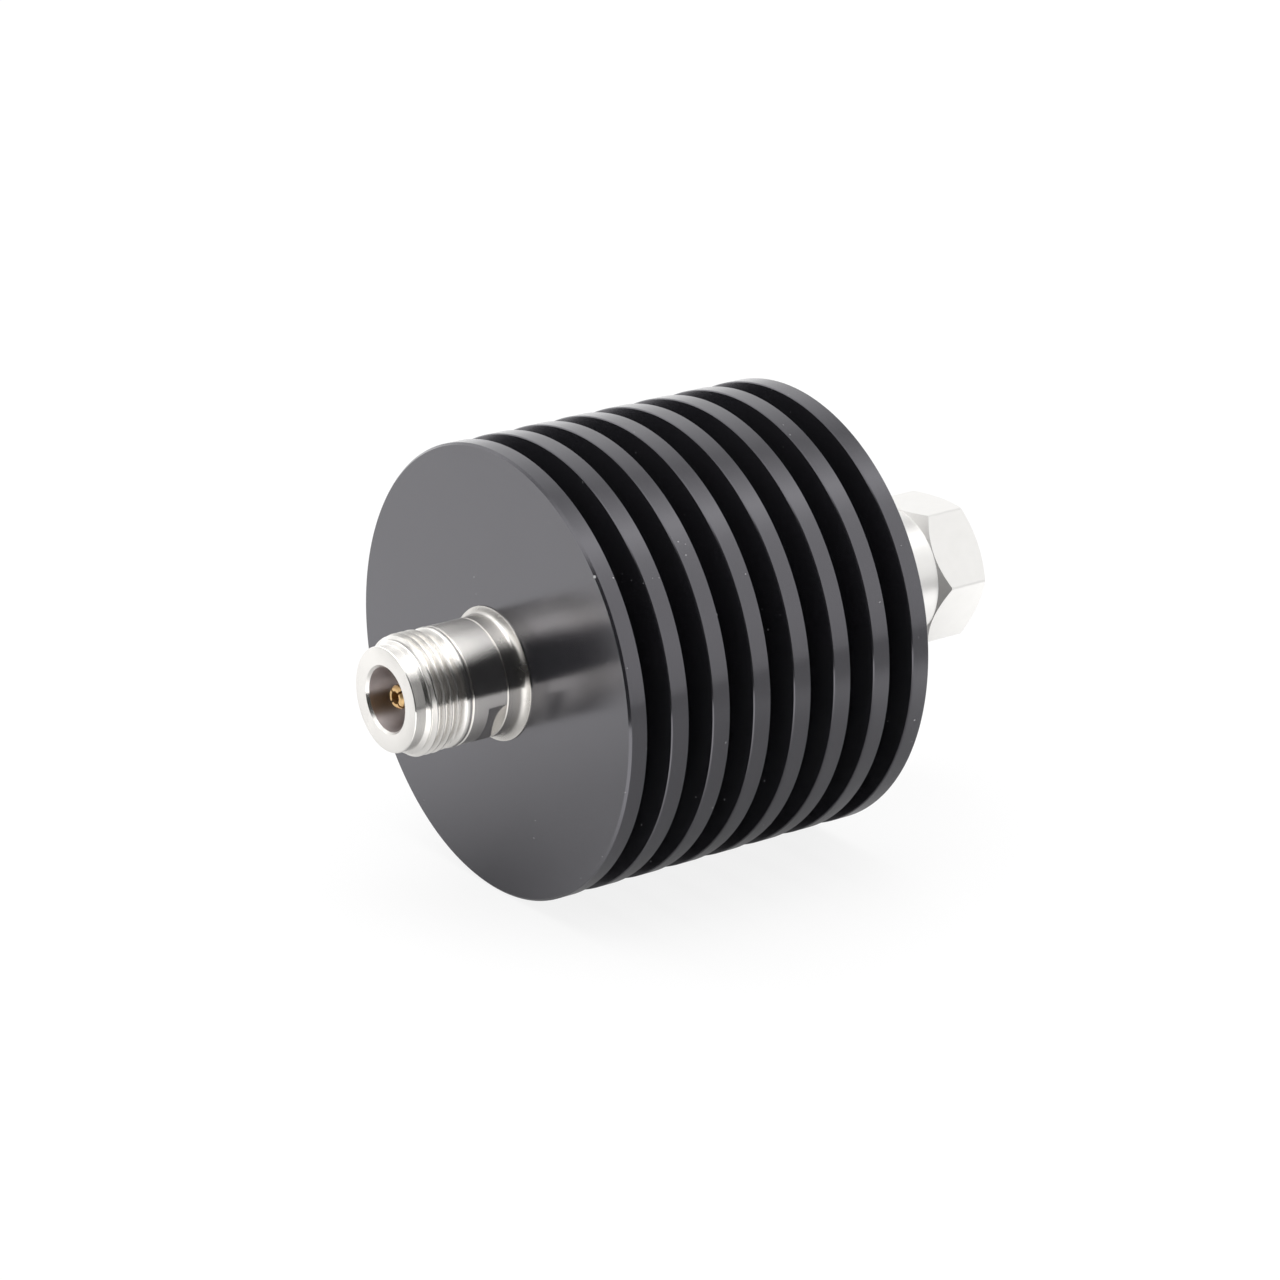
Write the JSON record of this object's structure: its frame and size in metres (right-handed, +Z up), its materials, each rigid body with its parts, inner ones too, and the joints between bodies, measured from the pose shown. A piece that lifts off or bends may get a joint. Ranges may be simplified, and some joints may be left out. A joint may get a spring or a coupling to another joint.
{
  "type": "coaxial attenuator",
  "caption": "Inline coaxial attenuator: round finned heat sink with a threaded female connector on one face and a male connector with a turning hexagonal coupling nut on the other.",
  "frame": {"origin": "on the axis, at the free end of the plug's outer conductor, the plane where two connectors meet", "axes": "+X along the axis, from the jack to the plug, out of the plug's mouth; +Z up in the picture"},
  "size_m": [0.0906, 0.06, 0.06],
  "materials": {
    "anodised_aluminium": "black anodised, satin",
    "nickel_plated_brass": "bright nickel plated",
    "gold_plated_contact": "gold plated",
    "ptfe": "plain white",
    "spring_steel": "plain spring steel",
    "silicone_rubber": "matt",
    "carrier_aluminium": "machined, bare",
    "screw_steel": "plain",
    "chip_ceramic": "fired, matt",
    "tab_copper": "rolled strip"
  },
  "bodies": {
    "attenuator": {"heat_sink": "anodised_aluminium", "jack_body": "nickel_plated_brass", "jack_collar": "nickel_plated_brass", "jack_insulator": "ptfe", "jack_contact": "gold_plated_contact", "jack_retainer": "nickel_plated_brass", "plug_collar": "nickel_plated_brass", "plug_body": "nickel_plated_brass", "plug_insulator": "ptfe", "plug_pin": "gold_plated_contact", "plug_retainer": "nickel_plated_brass", "snap_ring": "spring_steel", "plug_gasket": "silicone_rubber", "carrier_lower": "carrier_aluminium", "carrier_upper": "carrier_aluminium", "carrier_screws": "screw_steel", "attenuator_chip": "chip_ceramic", "input_tab": "tab_copper", "output_tab": "tab_copper"},
    "coupling_nut": {"coupling_nut": "nickel_plated_brass"}
  },
  "joints": [
    {"name": "coupling_nut_spin", "type": "hinge", "parent": "attenuator", "child": "coupling_nut", "pos_m": [-0.012, 0, 0], "axis": [1, 0, 0], "continuous": true}
  ]
}
